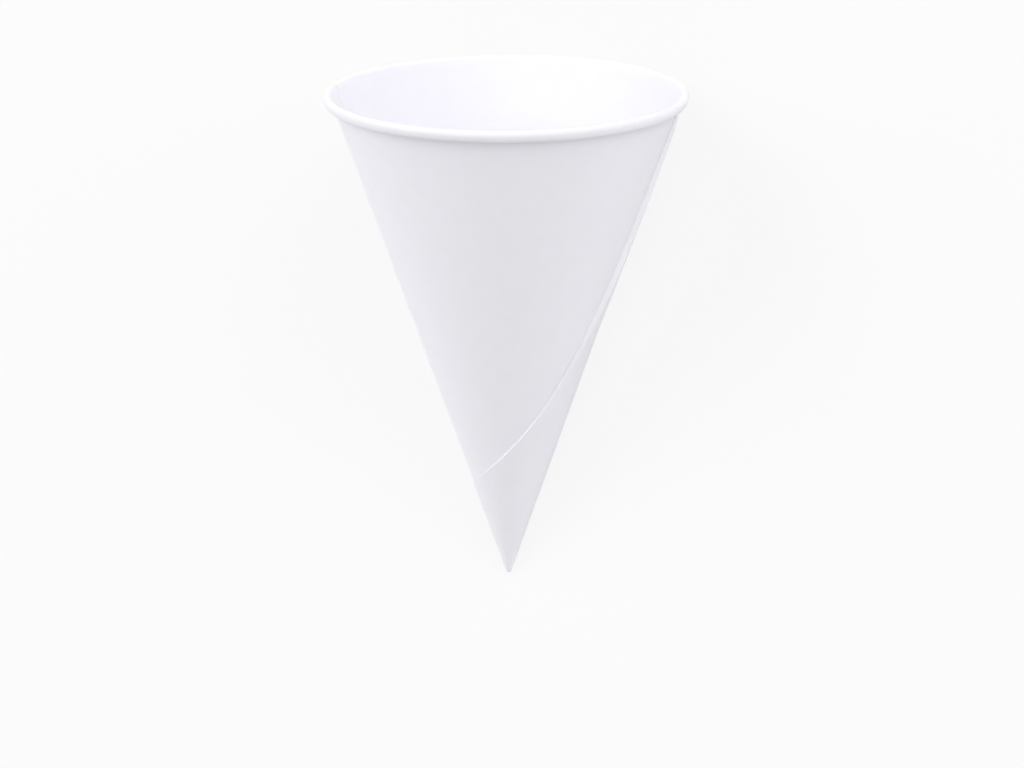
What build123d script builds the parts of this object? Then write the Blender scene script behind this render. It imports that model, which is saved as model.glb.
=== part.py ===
"""Cone paper cup, wound from one flat blank and rolled over at the mouth.

The blank is laid out flat, with the point that becomes the tip as the centre of its frame. One
turn of the cone takes up blank_turn_angle of flat sheet, so that angle alone sets the taper. The
sheet starts at a straight edge through the tip, goes once round, and goes on over itself for
nearly half a turn more at the mouth and a whole one at the tip. It ends in a straight edge that
passes the tip at edge_distance, so on the cone that edge climbs from the back of the tip, across
the front, to the mouth. Flat angles are counted from the foot of the perpendicular from the tip
to that edge. The last stretch of the sheet is not glued down and stands a little off the wall.
The mouth is rolled outward into an oval bead.

The cup is modelled tip down on the Z axis with its front towards -Y. It can't stand on its tip, so
it is then laid down on its heavy side, where it rests on bead and tip with the mouth towards +Y.
The soft bead is pressed a little flat where it lies on the ground.
"""

import os
from math import acos, asin, atan2, ceil, copysign, cos, degrees, hypot, radians, sin, sqrt, tan

from build123d import *

# Sheet and cone
rim_diameter = 70.0
paper_thickness = 0.2
blank_turn_angle = 121.4

# Rolled bead at the mouth: an oval, taller along the wall than it is broad, with a pressed band
bead_breadth = 1.65
bead_height = 2.3
bead_band_height = 0.25
bead_clearance = 0.07

# Outer edge of the sheet: its distance from the tip, and the heading of its nearest point
edge_distance = 17.3
edge_heading = -151.5

# Lap: how far round the mouth the sheet covers its own start, and how it climbs off that start
mouth_lap_angle = 169.0
glue_depth = 0.06
start_ramp_width = 5.0
start_fade_length = 6.0

# Loose lip along the outer edge
lip_width = 8.6
lip_stand_off = 0.72
lip_free_from = 8.0
lip_full_from = 36.0
lip_pressed_length = 11.0

# Blunt tip, pressed solid
tip_blunt_length = 0.92
tip_closed_length = 2.4
tip_swell = 0.05

# Heading of the heavy side, which lies on the ground, and how deep the ground presses the bead
rest_heading = 160.4
rest_press_depth = 0.08

# How finely the worked-out curves, the loose lip and the bead's two faces are divided
curve_spans = 12
arc_span_angle = 4.0
lip_strips = 4
bead_strips = 6
lining_strips = 2

# Taper of the cone
taper_sin = blank_turn_angle / 360
taper_cos = sqrt(1 - taper_sin**2)
taper_tan = taper_sin / taper_cos
half_angle = degrees(asin(taper_sin))

# Bead: both half turns of the sheet are half ovals, and the second one ends beside the wall
oval_half_height = (bead_height - bead_band_height) / 2
oval_reach = hypot(bead_breadth / 2 * taper_cos, oval_half_height * taper_sin)
bead_reach = oval_reach + bead_band_height / 2 * taper_sin
bead_centre_radius = rim_diameter / 2 - bead_reach
mouth_slant = (bead_centre_radius - bead_breadth / 2 * taper_cos) / taper_sin
inward_breadth = bead_breadth - paper_thickness - bead_clearance
inward_offset = bead_breadth - inward_breadth / 2

# Tip: how far its pressed wall reaches outward, and the level and radius of its flat end
pressed_offset = 2 * paper_thickness + tip_swell
tip_level = tip_blunt_length - 2 * paper_thickness / taper_sin
tip_radius = tip_level * taper_tan + pressed_offset / taper_cos

# Lap: it starts where the pressed tip ends and runs up until the bead's underside meets it
bead_drop_share = (inward_offset - 2 * paper_thickness - bead_clearance) / (inward_breadth / 2)
lap_start_slant = tip_closed_length
bead_drop = bead_band_height / 2 + oval_half_height * sqrt(1 - bead_drop_share**2)
lap_end_slant = mouth_slant - bead_drop
lap_depth = paper_thickness + glue_depth
glue_line = edge_distance - lip_width

# Flat angles of the sheet's start, of the ramp beside it, and of the outer edge's lower corner
start_angle = degrees(acos(edge_distance / mouth_slant)) + mouth_lap_angle * taper_sin
ramp_end_angle = start_angle + degrees(start_ramp_width / mouth_slant)
corner_angle = ramp_end_angle - blank_turn_angle


def profile_point(slant, offset):
    """Return radius and level at a slant distance from the tip, offset outward from the inside."""
    radius = slant * taper_sin + offset * taper_cos
    level = slant * taper_cos - offset * taper_sin
    return radius, level


def wound_point(slant, flat_angle, offset):
    """Return where the blank's point at a slant distance and a flat angle ends up."""
    radius, level = profile_point(slant, offset)
    heading = radians(edge_heading + flat_angle / taper_sin)
    return Vector(radius * sin(heading), -radius * cos(heading), level)


def line_angle(across, share):
    """Return the flat angle reached at a share of a line parallel to the outer edge."""
    lowest = across * tan(radians(corner_angle))
    highest = sqrt(lap_end_slant**2 - across**2)
    return degrees(atan2(lowest + (highest - lowest) * share, across))


def smooth_step(value):
    """Return a value eased from 0 to 1, and held at either end."""
    share = min(max(value, 0.0), 1.0)
    return share * share * (3 - 2 * share)


def lip_gap(slant, across):
    """Return how far the loose lip stands off: nothing at the glue line, the tip and the bead."""
    along = sqrt(max(slant**2 - across**2, 0.0))
    near_edge = smooth_step((across - glue_line) / lip_width)
    above_tip = smooth_step((along - lip_free_from) / (lip_full_from - lip_free_from))
    held = 1 - min((lap_end_slant - slant) / lip_pressed_length, 1.0)
    return lip_stand_off * near_edge * above_tip * (1 - held**2)


def half_oval(offset, half_breadth, half_height, strips):
    """Return half an oval of the bead as a line of strips, clockwise, breadth square to the wall.

    A positive half height gives the half over the top, from the wall's side to the far side, and a
    negative one the half that goes on from there underneath and back.
    """
    level = mouth_slant + copysign(bead_band_height / 2, half_height)
    oval = EllipticalCenterArc(
        profile_point(level, offset),
        half_breadth,
        abs(half_height),
        start_angle=180 if half_height > 0 else 0,
        arc_size=-180,
        rotation=-half_angle,
    )
    return Polyline(*[oval @ (step / strips) for step in range(strips + 1)])


def lining(offset, half_breadth, half_height):
    """Return the sizes of the half oval that lies one thickness of paper inside another."""
    inner_half_height = half_height - copysign(paper_thickness, half_height)
    return offset, half_breadth - paper_thickness, inner_half_height


def turned_wall():
    """Return the first turn of the sheet with its bead and its pressed tip."""
    over = (bead_breadth / 2, bead_breadth / 2, oval_half_height)
    back = (inward_offset, inward_breadth / 2, -oval_half_height)
    over_face = half_oval(*over, bead_strips)
    back_face = half_oval(*back, bead_strips)
    over_lining = half_oval(*lining(*over), lining_strips)
    back_lining = half_oval(*lining(*back), lining_strips)
    outline = Curve() + [
        Line((0, 0), over_face @ 0),
        over_face,
        Line(over_face @ 1, back_face @ 0),
        back_face,
        Line(back_face @ 1, back_lining @ 1),
        back_lining,
        Line(back_lining @ 0, over_lining @ 1),
        over_lining,
        Polyline(
            over_lining @ 0,
            profile_point(tip_closed_length + paper_thickness, paper_thickness),
            profile_point(tip_closed_length, pressed_offset),
            (tip_radius, tip_level),
            (0, tip_level),
            (0, 0),
        ),
    ]
    return revolve(Plane.XZ * make_face(outline), Axis.Z, 360)


def fitted_curve(place, spans):
    """Return a smooth curve through place(share) for shares spaced evenly from 0 to 1."""
    shares = [step / spans for step in range(spans + 1)]
    return Edge.make_spline([place(share) for share in shares], parameters=shares)


def lap_line(across, depth):
    """Return the curve parallel to the outer edge at a place across the lap and a depth in it."""

    def place(share):
        angle = line_angle(across, share)
        slant = across / cos(radians(angle))
        return wound_point(slant, angle, 2 * paper_thickness + lip_gap(slant, across) - depth)

    return fitted_curve(place, curve_spans)


def tip_line(depth):
    """Return the curve round the tip that faces the glue line, ray by ray."""

    def place(share):
        return wound_point(
            lap_start_slant, line_angle(glue_line, share), 2 * paper_thickness - depth
        )

    return fitted_curve(place, curve_spans)


def arc_line(slant, first_angle, last_angle, first_offset, last_offset):
    """Return a curve at one slant distance, from one flat angle and offset to another."""

    def place(share):
        angle = first_angle + (last_angle - first_angle) * share
        return wound_point(slant, angle, first_offset + (last_offset - first_offset) * share)

    return fitted_curve(place, 1 + ceil((last_angle - first_angle) / arc_span_angle))


def skin(rows):
    """Return a ruled face between each curve of a list and the next."""
    return [Face.make_surface_from_curves(row, after) for row, after in zip(rows, rows[1:])]


def solid_between(top_rows, bottom_rows):
    """Return the solid between two skins whose rows of curves match one to one."""
    faces = skin(top_rows) + skin(bottom_rows)
    faces += skin([top_rows[0], bottom_rows[0]]) + skin([top_rows[-1], bottom_rows[-1]])
    for end in (0, 1):
        top_ends = [row @ end for row in top_rows]
        bottom_ends = [row @ end for row in bottom_rows]
        for here in range(len(top_rows) - 1):
            top_side = Edge.make_line(top_ends[here], top_ends[here + 1])
            bottom_side = Edge.make_line(bottom_ends[here], bottom_ends[here + 1])
            faces += skin([top_side, bottom_side])
    return Solid(Shell(faces))


def glued_lap():
    """Return the glued part of the lap: the stretch beside the loose lip and the one above it."""
    beside = [[tip_line(depth), lap_line(glue_line, depth)] for depth in (0, lap_depth)]
    top = 2 * paper_thickness
    section = Polyline(
        profile_point(lap_start_slant, top),
        profile_point(lap_end_slant, top),
        profile_point(lap_end_slant, top - lap_depth),
        profile_point(lap_start_slant, top - lap_depth),
        close=True,
    )
    first_angle = line_angle(glue_line, 1)
    turn = (start_angle - first_angle) / taper_sin
    above = revolve(Plane.XZ * make_face(section), Axis.Z, turn)
    first_heading = edge_heading + first_angle / taper_sin
    return [solid_between(*beside), Rot(0, 0, first_heading - 90) * above]


def loose_lip():
    """Return the lap's loose lip, from the glue line to the outer edge of the sheet."""
    places = [glue_line + lip_width * strip / lip_strips for strip in range(lip_strips + 1)]
    return solid_between(
        [lap_line(across, 0) for across in places],
        [lap_line(across, lap_depth) for across in places],
    )


def start_ramp():
    """Return the stretch where the sheet leaves its own start and comes down to the wall."""
    slants = (lap_start_slant, lap_end_slant)
    bottom = 2 * paper_thickness - lap_depth
    ends = (start_angle, ramp_end_angle)
    return solid_between(
        [arc_line(slant, *ends, 2 * paper_thickness, bottom + glue_depth / 2) for slant in slants],
        [arc_line(slant, *ends, bottom, bottom) for slant in slants],
    )


def start_step():
    """Return the space beside the sheet's inner start, fading out where the bead presses it."""
    ends = (start_angle, ramp_end_angle)
    tops = (
        (2 * tip_closed_length, paper_thickness),
        (lap_end_slant - start_fade_length, paper_thickness),
        (lap_end_slant, 0),
    )
    return solid_between(
        [arc_line(slant, *ends, top, -glue_depth) for slant, top in tops],
        [arc_line(slant, *ends, -paper_thickness, -paper_thickness) for slant, top in tops],
    )


def wound_cup():
    """Return the whole wound sheet as one solid, tip down on the Z axis."""
    cup = turned_wall()
    for piece in [*glued_lap(), loose_lip(), start_ramp()]:
        cup += piece
    return cup - start_step()


def laid_down(cup):
    """Return the cup lying on its heavy side on bead and tip, centred over the origin."""
    bead_radius, bead_level = profile_point(
        mouth_slant - bead_band_height / 2, bead_breadth - rest_press_depth
    )
    lean = atan2(bead_radius - tip_radius, bead_level - tip_level)
    floor_level = tip_level * sin(lean) - tip_radius * cos(lean)
    tip_end = tip_level * cos(lean) - tip_radius * sin(lean)
    mouth_reach = (bead_height + bead_band_height) / 2
    mouth_end = bead_level * cos(lean) + bead_radius * sin(lean) + mouth_reach
    turned = Rot(degrees(lean) - 90, 0, 0) * Rot(0, 0, 180 - rest_heading) * cup
    laid = Pos(0, -(tip_end + mouth_end) / 2, -floor_level) * turned
    ground = Box(
        rim_diameter / 2,
        mouth_end - tip_end,
        bead_breadth,
        align=(Align.CENTER, Align.MIN, Align.MAX),
    )
    return laid - ground


if __name__ == "__main__":
    os.makedirs("parts", exist_ok=True)
    export_step(laid_down(wound_cup()), "parts/paper_cone_cup.step")
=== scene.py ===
"""Dress the cone paper cup: one sheet of paper, wound into a cone and rolled over at the mouth.

The cup lies on its side, as it comes to rest, and the camera looks down on it so that it shows as
it would standing on its tip. The cup's sizes are in millimetres, the studio's in metres where it
doesn't say otherwise, and all angles are in degrees.

Slant is the distance from the inner tip along the wall, offset the distance outward from the inside
of the wall, and heading the angle round the cup from its front. Travel is the distance from the
inner tip along the sheet, which goes on round the bead. A flat angle is measured round the tip on
the flat blank, from the line that meets the outer cut edge squarely.
"""

import logging
from dataclasses import dataclass, field
from enum import Enum
from math import acos, atan2, cos, degrees, hypot, pi, radians, sin, sqrt

import bpy
from mathutils import Matrix, Vector


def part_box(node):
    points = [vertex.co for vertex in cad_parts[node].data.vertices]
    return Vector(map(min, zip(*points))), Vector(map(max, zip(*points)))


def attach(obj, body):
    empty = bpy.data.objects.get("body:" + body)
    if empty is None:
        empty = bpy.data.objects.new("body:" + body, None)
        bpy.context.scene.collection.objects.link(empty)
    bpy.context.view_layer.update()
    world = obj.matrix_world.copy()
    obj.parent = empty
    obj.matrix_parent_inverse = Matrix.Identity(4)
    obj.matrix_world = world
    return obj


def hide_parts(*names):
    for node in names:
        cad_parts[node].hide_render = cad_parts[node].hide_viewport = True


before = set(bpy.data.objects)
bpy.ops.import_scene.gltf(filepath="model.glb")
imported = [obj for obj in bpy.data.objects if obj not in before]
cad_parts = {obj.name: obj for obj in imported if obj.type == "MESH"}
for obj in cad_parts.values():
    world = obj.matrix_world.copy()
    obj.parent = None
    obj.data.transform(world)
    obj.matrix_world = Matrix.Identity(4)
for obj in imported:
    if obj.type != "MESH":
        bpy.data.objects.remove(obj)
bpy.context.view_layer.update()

MILLIMETRE = 0.001
LOG = logging.getLogger("paper_cup")

HALF_TURN = 180.0
FULL_TURN = 360.0
NOISE_MIDDLE = 0.5

Colour = tuple[float, float, float]


def held_share(value: float) -> float:
    """Hold a value between 0 and 1."""
    return min(max(value, 0.0), 1.0)


def smooth_step(value: float) -> float:
    """Ease a value from 0 to 1 and hold it at either end.

    Args:
        value: The share of the way, of any size.

    Returns:
        The eased share, from 0 to 1.
    """
    share = held_share(value)
    return share * share * (3 - 2 * share)


def growing_steps(first: float, last: float, count: int, power: float) -> list[float]:
    """List where the steps of a stretch start, even for a power of 1 and growing above it."""
    return [first + (last - first) * (step / count) ** power for step in range(count)]


def closed_sheet_faces(rows: int, columns: int) -> list[tuple[int, ...]]:
    """List the faces of a sheet with two layers of points, joined along its four edges.

    Args:
        rows: How many rows of points a layer has.
        columns: How many points a row has.

    Returns:
        Each face as the numbers of its points, with the second layer's points after the first's.
    """
    layer = rows * columns
    faces = []
    for row in range(rows - 1):
        for column in range(columns - 1):
            here = row * columns + column
            inner = (here, here + columns, here + columns + 1, here + 1)
            faces.append(inner)
            faces.append(tuple(corner + layer for corner in reversed(inner)))
    first_column = range(0, layer, columns)
    last_column = range(columns - 1, layer, columns)
    first_row = range(columns)
    last_row = range(layer - columns, layer)
    edges = ((first_column, False), (last_column, True), (first_row, True), (last_row, False))
    for edge, turned in edges:
        for here, following in zip(edge, edge[1:]):
            quad = (here, here + layer, following + layer, following)
            faces.append(quad[::-1] if turned else quad)
    return faces


class Value:
    """A number that a shader node gives, with arithmetic that adds Math nodes."""

    def __init__(self, graph: "Graph", socket: bpy.types.NodeSocket) -> None:
        """Wrap an output socket of a graph's node."""
        self.graph = graph
        self.socket = socket

    def _math(self, operation: str, first: "Value | float", second: "Value | float") -> "Value":
        """Add a Math node that works on two numbers."""
        made = self.graph.node("ShaderNodeMath", {"operation": operation}, {0: first, 1: second})
        return Value(self.graph, made.outputs[0])

    def __add__(self, other: "Value | float") -> "Value":
        """Add a number to this one."""
        return self._math("ADD", self, other)

    def __radd__(self, other: float) -> "Value":
        """Add this number to a plain one."""
        return self._math("ADD", other, self)

    def __sub__(self, other: "Value | float") -> "Value":
        """Take a number from this one."""
        return self._math("SUBTRACT", self, other)

    def __rsub__(self, other: float) -> "Value":
        """Take this number from a plain one."""
        return self._math("SUBTRACT", other, self)

    def __mul__(self, other: "Value | float") -> "Value":
        """Multiply this number by another."""
        return self._math("MULTIPLY", self, other)

    def __rmul__(self, other: float) -> "Value":
        """Multiply a plain number by this one."""
        return self._math("MULTIPLY", other, self)


class Graph:
    """The node tree of one material or of the world, emptied and built anew."""

    # The Mix node's sockets for colours share their names with others, so they go by number.
    FIRST_COLOUR = 6
    SECOND_COLOUR = 7
    MIXED_COLOUR = 2

    def __init__(self, owner: bpy.types.Material | bpy.types.World) -> None:
        """Start an empty tree.

        Args:
            owner: The material or the world that the tree belongs to.
        """
        owner.use_nodes = True
        self.tree = owner.node_tree
        self.tree.nodes.clear()

    def node(
        self,
        kind: str,
        settings: dict[str, object] | None = None,
        inputs: dict[str | int, object] | None = None,
    ) -> bpy.types.Node:
        """Add a node.

        Args:
            kind: The node's type name.
            settings: Its properties by name, set before any socket.
            inputs: Plain values, Value objects or sockets, by input name or number.

        Returns:
            The new node.
        """
        made = self.tree.nodes.new(kind)
        for name, setting in (settings or {}).items():
            setattr(made, name, setting)
        for name, given in (inputs or {}).items():
            socket = given.socket if isinstance(given, Value) else given
            if isinstance(socket, bpy.types.NodeSocket):
                self.tree.links.new(socket, made.inputs[name])
            else:
                made.inputs[name].default_value = socket
        return made

    def value(self, node: bpy.types.Node, output: str | int = 0) -> Value:
        """Wrap one output of a node as a Value."""
        return Value(self, node.outputs[output])

    def noise(
        self,
        place: bpy.types.NodeSocket,
        size: float,
        detail: float,
        distortion: float = 0.0,
    ) -> Value:
        """Add a noise over the surface.

        Args:
            place: The coordinates to read, in metres.
            size: The size of one patch, in millimetres.
            detail: How many finer octaves ride on it.
            distortion: How far it is dragged out of round.

        Returns:
            The noise, about 0 to 1.
        """
        inputs = {
            "Vector": place,
            "Scale": 1 / (size * MILLIMETRE),
            "Detail": detail,
            "Distortion": distortion,
        }
        return self.value(self.node("ShaderNodeTexNoise", {"noise_dimensions": "3D"}, inputs))

    def mixed_colour(self, factor: Value, first: Colour, second: Colour) -> bpy.types.NodeSocket:
        """Mix two colours.

        Args:
            factor: The share of the second colour.
            first: The colour at 0.
            second: The colour at 1.

        Returns:
            The colour socket.
        """
        inputs = {
            "Factor": factor,
            self.FIRST_COLOUR: (*first, 1.0),
            self.SECOND_COLOUR: (*second, 1.0),
        }
        return self.node("ShaderNodeMix", {"data_type": "RGBA"}, inputs).outputs[self.MIXED_COLOUR]

    def showing_rays(self) -> Value:
        """Tell the rays that show the background from those that only light the cup.

        Returns:
            1 for a ray from the camera, off a gloss or through glass, and 0 for any other.
        """
        paths = self.node("ShaderNodeLightPath")
        camera = self.value(paths, "Is Camera Ray")
        glossy = self.value(paths, "Is Glossy Ray")
        passed = self.value(paths, "Is Transmission Ray")
        return camera + glossy + passed


@dataclass(frozen=True)
class PaperFinish:
    """Matt white paper with a cool cast: cloudy formation, matted fibre and a fine felt grain."""

    name: str = "white_paper"
    light_tone: Colour = (0.846, 0.839, 0.884)
    dark_tone: Colour = (0.786, 0.779, 0.826)
    roughness: float = 0.88
    roughness_spread: float = 0.10
    specular: float = 0.25
    bump_depth: float = 0.024
    bump_strength: float = 0.7

    # The cloudy formation shows in the tone alone.
    cloud_size: float = 3.2
    cloud_detail: float = 3.0
    cloud_in_tone: float = 0.45

    # The matted fibre shows in the tone and in the relief.
    fibre_size: float = 0.55
    fibre_detail: float = 2.0
    fibre_distortion: float = 1.6
    fibre_in_tone: float = 0.35
    fibre_in_relief: float = 0.55

    # So does the felt grain.
    grain_size: float = 0.16
    grain_detail: float = 2.0
    grain_in_tone: float = 0.2
    grain_in_relief: float = 0.45

    def material(self) -> bpy.types.Material:
        """Build the paper's material.

        Returns:
            The material.
        """
        made = bpy.data.materials.new(self.name)
        graph = Graph(made)
        place = graph.node("ShaderNodeTexCoord").outputs["Object"]
        cloud = graph.noise(place, self.cloud_size, self.cloud_detail)
        fibre = graph.noise(place, self.fibre_size, self.fibre_detail, self.fibre_distortion)
        grain = graph.noise(place, self.grain_size, self.grain_detail)
        tone = self.cloud_in_tone * cloud + self.fibre_in_tone * fibre + self.grain_in_tone * grain
        relief = self.fibre_in_relief * fibre + self.grain_in_relief * grain
        bump = graph.node(
            "ShaderNodeBump",
            inputs={
                "Height": relief,
                "Distance": self.bump_depth * MILLIMETRE,
                "Strength": self.bump_strength,
            },
        )
        shader = graph.node(
            "ShaderNodeBsdfPrincipled",
            inputs={
                "Base Color": graph.mixed_colour(tone, self.dark_tone, self.light_tone),
                "Roughness": self.roughness + self.roughness_spread * (relief - NOISE_MIDDLE),
                "Specular IOR Level": self.specular,
                "Normal": bump.outputs[0],
            },
        )
        graph.node("ShaderNodeOutputMaterial", inputs={"Surface": shader.outputs[0]})
        return made


@dataclass(frozen=True)
class FloorFinish:
    """A pale matt floor that the camera sees as nearly white, with a faint shadow."""

    name: str = "studio_floor"
    tone: Colour = (0.8, 0.8, 0.8)
    seen_brightness: float = 0.973
    seen_share: float = 0.84

    def material(self) -> bpy.types.Material:
        """Build the floor's material.

        Returns:
            The material.
        """
        made = bpy.data.materials.new(self.name)
        graph = Graph(made)
        seen = self.seen_share * graph.showing_rays()
        matt = graph.node("ShaderNodeBsdfDiffuse", inputs={"Color": (*self.tone, 1.0)})
        glow = graph.node("ShaderNodeEmission", inputs={"Strength": self.seen_brightness})
        inputs = {0: seen, 1: matt.outputs[0], 2: glow.outputs[0]}
        both = graph.node("ShaderNodeMixShader", inputs=inputs)
        graph.node("ShaderNodeOutputMaterial", inputs={"Surface": both.outputs[0]})
        return made


class Face(Enum):
    """The two faces of the sheet, each with its distance from the inner one in thicknesses."""

    INNER = 0
    OUTER = 1


class Stretch(Enum):
    """The stretches that the sheet passes through on its way from the tip into the bead."""

    WALL = "wall"
    OVER = "over the top of the bead"
    BAND = "down the bead's outside"
    BACK = "back under the bead"


@dataclass(frozen=True)
class Station:
    """One row of the mesh.

    Attributes:
        stretch: The stretch that it lies in.
        place: Where in it, as a slant on the wall, a share of the way down the band, and elsewhere a
            turn round the bead's oval, from 180 at the wall, over the top, to 0, and on below 0.
        travel: The travel to it.
    """

    stretch: Stretch
    place: float
    travel: float


@dataclass
class RolledBead:
    """The bead at the mouth, an oval that the sheet goes over, down and back under."""

    thickness: float
    breadth: float = 1.65
    height: float = 2.3
    band_height: float = 0.25
    clearance: float = 0.07
    end_turn: float = -128.0
    over_rows: int = 14
    back_rows: int = 11

    @property
    def half_height(self) -> float:
        """Half the height of the oval without its band."""
        return (self.height - self.band_height) / 2

    @property
    def inward_breadth(self) -> float:
        """The breadth of the half oval that goes back under, clear of the wall."""
        return self.breadth - self.thickness - self.clearance

    def reach(self, taper_sin: float, taper_cos: float) -> float:
        """Say how far the bead stands out, square to the cup's axis.

        Args:
            taper_sin: The sine of the cone's half angle.
            taper_cos: Its cosine.

        Returns:
            The distance from the wall's inside, at the bead's middle, to the bead's outermost point.
        """
        half_breadth = self.breadth / 2
        oval = hypot(half_breadth * taper_cos, self.half_height * taper_sin)
        return half_breadth * taper_cos + oval + self.band_height / 2 * taper_sin

    def stations(self, middle: float) -> list[Station]:
        """List the rows of the mesh in the bead, in the order of the sheet.

        Args:
            middle: The slant of the bead's middle.

        Returns:
            The rows, from just past the wall to the end of the roll.
        """
        radius = (self.breadth / 2 + self.half_height) / 2
        top = middle + self.band_height / 2
        reached = top + radius * pi + self.band_height
        over = [HALF_TURN * (1 - row / self.over_rows) for row in range(1, self.over_rows + 1)]
        back = [self.end_turn * row / self.back_rows for row in range(1, self.back_rows + 1)]
        return [
            *(Station(Stretch.OVER, turn, top + radius * radians(HALF_TURN - turn)) for turn in over),
            Station(Stretch.BAND, 1.0, reached),
            *(Station(Stretch.BACK, turn, reached - radius * radians(turn)) for turn in back),
        ]

    def point(self, station: Station, depth: float) -> tuple[float, float]:
        """Place a point of the rolled sheet.

        Args:
            station: The row of the mesh.
            depth: The distance from the sheet's inner face, which is the outside of the roll.

        Returns:
            The slant, counted from the bead's middle, and the offset.
        """
        half_band = self.band_height / 2
        if station.stretch is Stretch.BAND:
            return half_band - station.place * self.band_height, self.breadth - depth
        turn = radians(station.place)
        rise = (self.half_height - depth) * sin(turn)
        if station.stretch is Stretch.OVER:
            return half_band + rise, self.breadth / 2 + (self.breadth / 2 - depth) * cos(turn)
        half_inward = self.inward_breadth / 2
        return rise - half_band, self.breadth - half_inward + (half_inward - depth) * cos(turn)


@dataclass
class WoundCup:
    """The whole cup: the blank's sizes, how it is wound, and where the cup lies."""

    rim_diameter: float = 70.0
    thickness: float = 0.2
    ply_gap: float = 0.012

    # One turn round the cup takes blank_turn of the flat blank. The outer cut edge comes nearest to
    # the tip, edge_distance away, at edge_heading. At the mouth the lap goes mouth_lap round the cup.
    blank_turn: float = 121.4
    edge_distance: float = 17.3
    edge_heading: float = -151.5
    mouth_lap: float = 169.0
    ramp_width: float = 5.0

    # The lip stands loose along the outer cut edge and turns back down to the wall at the edge. It is
    # free from lip_free_from along the edge, fully so from lip_full_from on, and pressed at the bead.
    lip_width: float = 8.6
    lip_turn_width: float = 0.8
    least_turn_share: float = 0.05
    lip_stand_off: float = 0.72
    lip_free_from: float = 6.0
    lip_full_from: float = 58.0
    lip_rise_power: float = 1.3
    lip_pressed_length: float = 7.0

    # The sheet's own start, inside the cup, is pressed thin.
    start_press_width: float = 1.6
    start_press_share: float = 0.75
    start_press_turn: float = 8.0

    # The cup rests on its blunt tip, where the paper is swollen, and on its bead, pressed flat.
    tip_blunt_length: float = 0.92
    tip_swell: float = 0.05
    rest_heading: float = 160.4
    rest_press_depth: float = 0.08

    # The mesh has its columns round the cup and its rows from the tip to the bead.
    edge_columns: int = 8
    lip_columns: int = 26
    lap_columns: int = 72
    ramp_columns: int = 6
    turn_columns: int = 150
    start_columns: int = 5
    least_edge_angle: float = 0.05
    least_lip_angle: float = 4.0
    tip_start: float = 0.05
    tip_rows: int = 30
    tip_row_growth: float = 1.3
    wall_rows: int = 86
    wall_row_growth: float = 1.35
    sharp_angle: float = 38.0

    finish: PaperFinish = field(default_factory=PaperFinish)
    bead: RolledBead = field(init=False)

    def __post_init__(self) -> None:
        """Roll the bead from the cup's own sheet."""
        self.bead = RolledBead(self.thickness)

    @property
    def taper_sin(self) -> float:
        """The sine of the cone's half angle, which the blank's turn sets."""
        return self.blank_turn / FULL_TURN

    @property
    def taper_cos(self) -> float:
        """The cosine of the cone's half angle."""
        return sqrt(1 - self.taper_sin**2)

    @property
    def mouth_slant(self) -> float:
        """The slant of the bead's middle, at which the bead reaches the rim's diameter."""
        reach = self.bead.reach(self.taper_sin, self.taper_cos)
        return (self.rim_diameter / 2 - reach) / self.taper_sin

    @property
    def lap_end(self) -> float:
        """The flat angle at which the lap ends, over the sheet's own start."""
        return degrees(acos(self.edge_distance / self.mouth_slant)) + self.mouth_lap * self.taper_sin

    @property
    def ramp_end(self) -> float:
        """The flat angle at which the sheet has come down to the cone's inside."""
        return self.lap_end + degrees(self.ramp_width / self.mouth_slant)

    @property
    def lowest_angle(self) -> float:
        """The flat angle of the outer cut edge's lower end, one turn before the ramp's end."""
        return self.ramp_end - self.blank_turn

    @property
    def sheet_start(self) -> float:
        """The flat angle of the sheet's own start, one turn past the lap's end."""
        return self.lap_end + self.blank_turn

    def profile(self, slant: float, offset: float) -> tuple[float, float]:
        """Turn a slant and an offset into a radius and a level above the inner tip."""
        radius = slant * self.taper_sin + offset * self.taper_cos
        return radius, slant * self.taper_cos - offset * self.taper_sin

    def resting_place(self) -> Matrix:
        """Work out where the cup lies: on bead and tip, heavy side down, centred over the origin.

        Returns:
            The matrix from the upright cup, with its inner tip at the origin, to the lying cup, in
            millimetres.
        """
        band_end = self.mouth_slant - self.bead.band_height / 2
        bead_radius, bead_level = self.profile(band_end, self.bead.breadth - self.rest_press_depth)
        plies = 2 * self.thickness
        tip_level = self.tip_blunt_length - plies / self.taper_sin
        tip_radius = (tip_level * self.taper_sin + plies + self.tip_swell) / self.taper_cos
        lean = atan2(bead_radius - tip_radius, bead_level - tip_level)
        floor_level = tip_level * sin(lean) - tip_radius * cos(lean)
        tip_end = tip_level * cos(lean) - tip_radius * sin(lean)
        past_bead = (self.bead.height + self.bead.band_height) / 2
        mouth_end = bead_level * cos(lean) + bead_radius * sin(lean) + past_bead
        shift = Matrix.Translation((0, -(tip_end + mouth_end) / 2, -floor_level))
        turn = Matrix.Rotation(pi - radians(self.rest_heading), 4, "Z")
        return shift @ Matrix.Rotation(lean - pi / 2, 4, "X") @ turn

    def stations(self) -> list[Station]:
        """List the rows of the mesh.

        Returns:
            The rows, from the tip to the end of the roll.
        """
        corner = self.edge_distance / cos(radians(self.lowest_angle))
        top = self.mouth_slant + self.bead.band_height / 2
        slants = growing_steps(self.tip_start, corner, self.tip_rows, self.tip_row_growth)
        slants += growing_steps(corner, top, self.wall_rows, self.wall_row_growth)
        wall = [Station(Stretch.WALL, slant, slant) for slant in [*slants, top]]
        return wall + self.bead.stations(self.mouth_slant)

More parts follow.
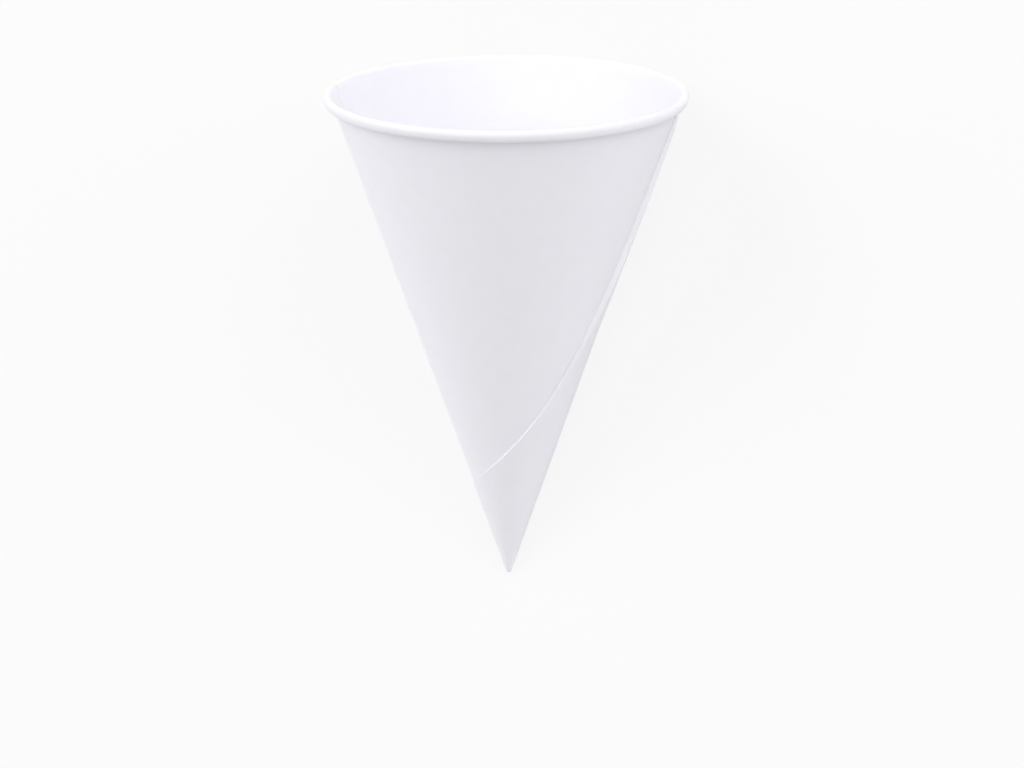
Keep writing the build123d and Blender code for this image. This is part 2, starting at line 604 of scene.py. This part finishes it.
    def flat_angles(self, travel: float) -> list[float]:
        """List the flat angles of one row, from the outer cut edge to the sheet's own start.

        Args:
            travel: The travel to the row.

        Returns:
            The flat angles.
        """
        edge = max(self.lowest_angle, self.line_angle(travel, self.edge_distance))
        turned = self.line_angle(travel, self.edge_distance - self.turn_width(travel, edge))
        glued = self.line_angle(travel, self.edge_distance - self.lip_width)
        bands = (
            (max(edge + self.least_edge_angle, turned), self.edge_columns),
            (max(edge + self.least_lip_angle, glued), self.lip_columns),
            (self.lap_end, self.lap_columns),
            (self.ramp_end, self.ramp_columns),
            (self.sheet_start - self.press_turn(travel), self.turn_columns),
            (self.sheet_start, self.start_columns),
        )
        angles = [edge]
        for last, count in bands:
            first = angles[-1]
            angles += [first + (last - first) * step / count for step in range(1, count + 1)]
        return angles

    def line_angle(self, travel: float, distance: float) -> float:
        """Find the flat angle at which a row meets a line parallel to the outer cut edge, or 0."""
        return degrees(acos(min(distance / travel, 1.0)))

    def looseness(self, travel: float, flat_angle: float) -> float:
        """Say how free the lip is, from 0 near the tip to 1 higher up.

        Args:
            travel: The travel to the place.
            flat_angle: Its flat angle.

        Returns:
            The share of the full stand-off.
        """
        along = travel * sin(radians(flat_angle))
        share = (along - self.lip_free_from) / (self.lip_full_from - self.lip_free_from)
        return held_share(share) ** self.lip_rise_power

    def turn_width(self, travel: float, flat_angle: float) -> float:
        """Say over what width the lip turns back down to the wall at its edge."""
        return self.lip_turn_width * max(self.looseness(travel, flat_angle), self.least_turn_share)

    def lip_gap(self, station: Station, flat_angle: float) -> float:
        """Say how far the loose lip stands off the wall.

        Args:
            station: The row of the mesh.
            flat_angle: The flat angle in that row.

        Returns:
            The gap, which is nothing at the glue line, along the edge, near the tip and at the bead.
        """
        if station.stretch is not Stretch.WALL:
            return 0.0
        from_edge = self.edge_distance - station.travel * cos(radians(flat_angle))
        turn = self.turn_width(station.travel, flat_angle)
        lifted = smooth_step((self.lip_width - from_edge) / (self.lip_width - turn))
        turned_up = sin(pi / 2 * held_share(from_edge / turn))
        to_bead = self.mouth_slant - self.bead.height / 2 - station.travel
        pressed = held_share(1 - to_bead / self.lip_pressed_length)
        loose = self.looseness(station.travel, flat_angle)
        return self.lip_stand_off * loose * lifted * turned_up * (1 - pressed**2)

    def press_turn(self, travel: float) -> float:
        """Say over what flat angle of a row the sheet's own start is pressed thin."""
        return min(degrees(self.start_press_width / travel), self.start_press_turn)

    def press_depth(self, travel: float, flat_angle: float) -> float:
        """Say how far the inner face is pressed into the sheet near its own start."""
        pressed = 1 - smooth_step((self.sheet_start - flat_angle) / self.press_turn(travel))
        return self.start_press_share * pressed * self.thickness

    def point(self, station: Station, flat_angle: float, face: Face) -> Vector:
        """Place a point of the sheet in the upright cup.

        Args:
            station: The row of the mesh.
            flat_angle: The flat angle in that row.
            face: The face of the sheet that it lies on.

        Returns:
            The point in millimetres, with the inner tip at the origin.
        """
        climb = 1 - smooth_step((flat_angle - self.lap_end) / (self.ramp_end - self.lap_end))
        depth = (climb + face.value) * self.thickness + self.ply_gap * climb
        if face is Face.INNER:
            depth += self.press_depth(station.travel, flat_angle)
        if station.stretch is Stretch.WALL:
            slant, offset = station.place, depth + self.lip_gap(station, flat_angle) * climb
        else:
            past_middle, offset = self.bead.point(station, depth)
            slant = self.mouth_slant + past_middle
        radius, level = self.profile(slant, offset)
        heading = radians(self.edge_heading + flat_angle / self.taper_sin)
        return Vector((radius * sin(heading), -radius * cos(heading), level))

    def sheet_mesh(self) -> bpy.types.Mesh:
        """Build the sheet as one closed mesh.

        Returns:
            The mesh, in metres, where the cup lies, and flat where it meets the floor.
        """
        place = Matrix.Scale(MILLIMETRE, 4) @ self.resting_place()
        rows = [(station, self.flat_angles(station.travel)) for station in self.stations()]
        points = [
            place @ self.point(station, angle, face)
            for face in Face
            for station, angles in rows
            for angle in angles
        ]
        for point in points:
            point.z = max(point.z, 0.0)
        mesh = bpy.data.meshes.new("wound_cup")
        mesh.from_pydata(points, [], closed_sheet_faces(len(rows), len(rows[0][1])))
        mesh.validate()
        mesh.shade_smooth()
        mesh.set_sharp_from_angle(angle=radians(self.sharp_angle))
        return mesh

    def build(self) -> bpy.types.Object:
        """Build the cup, dress it in paper and put it in place of the solid.

        Returns:
            The cup's object.
        """
        cup = bpy.data.objects.new("wound_cup", self.sheet_mesh())
        bpy.context.scene.collection.objects.link(cup)
        cup.data.materials.append(self.finish.material())
        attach(cup, "root")
        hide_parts("paper_cone_cup")
        return cup


@dataclass
class SoftLamp:
    """A large square lamp, turned to the middle of the cup."""

    name: str
    bearing: tuple[float, float, float]
    power: float
    distance: float = 1.6
    size: float = 1.4

    def build(self, middle: Vector) -> bpy.types.Object:
        """Build the lamp.

        Args:
            middle: The point that it lights, in metres.

        Returns:
            The lamp's object.
        """
        data = bpy.data.lights.new(self.name, "AREA")
        data.shape = "SQUARE"
        data.size = self.size
        data.energy = self.power
        lamp = bpy.data.objects.new(self.name, data)
        outward = Vector(self.bearing).normalized()
        lamp.location = middle + outward * self.distance
        lamp.rotation_euler = outward.to_track_quat("Z", "Y").to_euler()
        lamp.visible_camera = False
        bpy.context.scene.collection.objects.link(lamp)
        return lamp


@dataclass
class Studio:
    """The pale floor, the soft light and the camera, set by the cup's resting place.

    The view's width and centre and the sensor's width are in millimetres. The centre is counted
    from the inner tip, to the camera's right, upward and towards it.
    """

    resting_place: Matrix
    elevation: float = 12.83
    roll: float = 0.306
    distance: float = 6.0
    view_width: float = 196.45
    view_centre: tuple[float, float, float] = (0.631, 35.887, 0.0)
    sensor_width: float = 36.0
    floor_half: float = 4.0
    sky: float = 0.355
    floor: FloorFinish = field(default_factory=FloorFinish)
    lamps: tuple[SoftLamp, ...] = (
        SoftLamp("left_high_lamp", (-0.8, 0.5, 1.0), 15.4),
        SoftLamp("right_high_lamp", (0.8, 0.5, 1.0), 8.8),
        SoftLamp("mouth_lamp", (0.8, 0.8, 0.6), 8.3),
        SoftLamp("tip_lamp", (0.0, -1.0, 0.6), 6.6),
        SoftLamp("left_side_lamp", (-1.0, 0.1, 0.35), 4.7),
        SoftLamp("right_side_lamp", (1.0, 0.1, 0.35), 1.9),
    )

    def build_floor(self) -> None:
        """Build the floor under the cup."""
        half = self.floor_half
        corners = [(-half, -half, 0), (half, -half, 0), (half, half, 0), (-half, half, 0)]
        mesh = bpy.data.meshes.new("floor")
        mesh.from_pydata(corners, [], [(0, 1, 2, 3)])
        mesh.materials.append(self.floor.material())
        ground = bpy.data.objects.new("floor", mesh)
        bpy.context.scene.collection.objects.link(ground)

    def build_sky(self) -> None:
        """Build the plain sky, which the camera sees as bright as the floor."""
        world = bpy.data.worlds.new("studio")
        bpy.context.scene.world = world
        graph = Graph(world)
        strength = self.sky + (self.floor.seen_brightness - self.sky) * graph.showing_rays()
        inputs = {"Color": (1.0, 1.0, 1.0, 1.0), "Strength": strength}
        glow = graph.node("ShaderNodeBackground", inputs=inputs)
        graph.node("ShaderNodeOutputWorld", inputs={"Surface": glow.outputs[0]})

    def build_camera(self) -> None:
        """Build the camera, which looks at the upright cup's front from a little above its level."""
        rise, tilt = radians(self.elevation), radians(self.roll)
        right = Vector((cos(tilt), -sin(tilt) * sin(rise), -sin(tilt) * cos(rise)))
        upward = Vector((sin(tilt), cos(tilt) * sin(rise), cos(tilt) * cos(rise)))
        turn = Matrix((right, upward, right.cross(upward))).transposed()
        facing = self.resting_place.to_3x3() @ turn
        centre = self.resting_place @ (turn @ Vector(self.view_centre)) * MILLIMETRE
        data = bpy.data.cameras.new("camera")
        data.sensor_width = self.sensor_width
        data.lens = self.sensor_width * self.distance / (self.view_width * MILLIMETRE)
        camera = bpy.data.objects.new("camera", data)
        camera.matrix_world = facing.to_4x4()
        camera.location = centre + facing @ Vector((0, 0, self.distance))
        bpy.context.scene.collection.objects.link(camera)
        bpy.context.scene.camera = camera

    def build(self) -> None:
        """Build everything round the cup."""
        self.build_floor()
        self.build_sky()
        low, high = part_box("paper_cone_cup")
        middle = (Vector(low) + Vector(high)) / 2
        for lamp in self.lamps:
            lamp.build(middle)
        self.build_camera()
        bpy.context.scene.view_settings.view_transform = "Standard"


def main() -> None:
    """Build the cup and its studio in order and report each."""
    logging.basicConfig(level=logging.INFO, format="%(name)s: %(message)s")
    cup = WoundCup()
    made = cup.build()
    LOG.info("%s: %d vertices, %d faces", made.name, len(made.data.vertices), len(made.data.polygons))
    studio = Studio(cup.resting_place())
    studio.build()
    LOG.info("studio: %d lamps, floor, sky and camera", len(studio.lamps))


if __name__ == "__main__":
    main()
